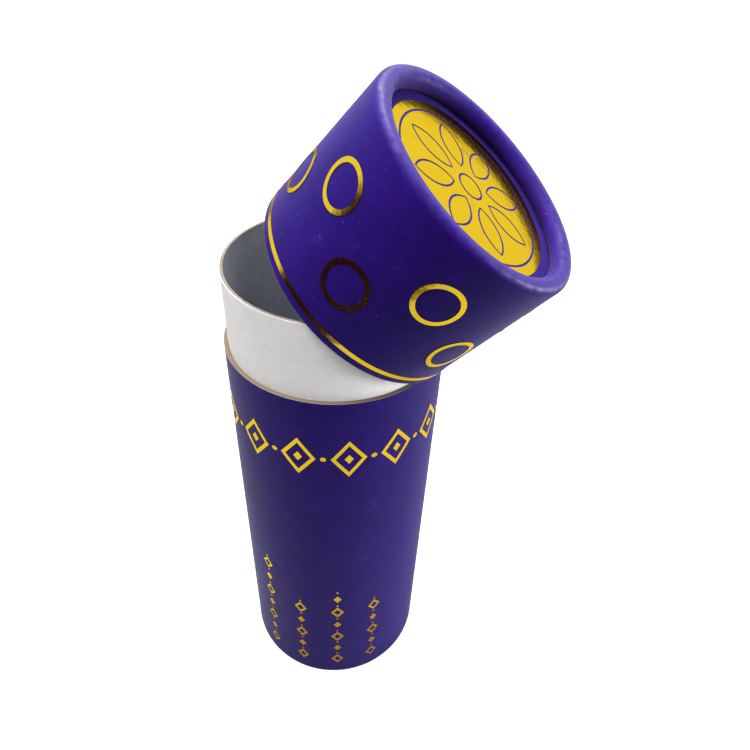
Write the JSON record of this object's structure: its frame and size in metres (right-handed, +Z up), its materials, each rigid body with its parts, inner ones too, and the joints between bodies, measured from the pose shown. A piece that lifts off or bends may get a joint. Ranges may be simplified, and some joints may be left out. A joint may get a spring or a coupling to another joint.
{
  "type": "cylindrical gift tube box",
  "caption": "Upright round gift box of wound board with a white inner neck and a deep slip-on lid, shown with the lid off and leaning on the neck; rolled rims and gold foil rings.",
  "frame": {"origin": "centre of the foot, on the surface that the box stands on", "axes": "+Z up the base tube's axis, +X towards the side on which the lid leans"},
  "size_m": [0.108, 0.0754, 0.2519],
  "materials": {
    "purple_paper": "matt printed wrapping paper with a fine tooth",
    "kraft_board": "raw wound board",
    "white_paper": "smooth white paper",
    "grey_lining": "uncoated grey lining paper",
    "gold_foil": "bright gold hot-stamping foil"
  },
  "bodies": {
    "base": {"base_tube": "kraft_board", "base_wrap": "purple_paper", "base_disc": "kraft_board", "base_disc_facing": "purple_paper", "neck_tube": "kraft_board", "neck_wrap": "white_paper", "neck_lining": "grey_lining", "floor_lining": "grey_lining"},
    "lid": {"lid_tube": "kraft_board", "lid_wrap": "purple_paper", "lid_disc": "kraft_board", "lid_disc_facing": "purple_paper", "lid_lining": "grey_lining", "lid_roof_lining": "grey_lining", "lid_foil_line": "gold_foil", "lid_foil_rings": "gold_foil", "lid_foil_medallion": "gold_foil"}
  },
  "joints": [
    {"name": "lid_lift", "type": "slide", "parent": "base", "child": "lid", "axis": [0.6361, 0, 0.7716], "range_m": [0, 0.15]}
  ]
}
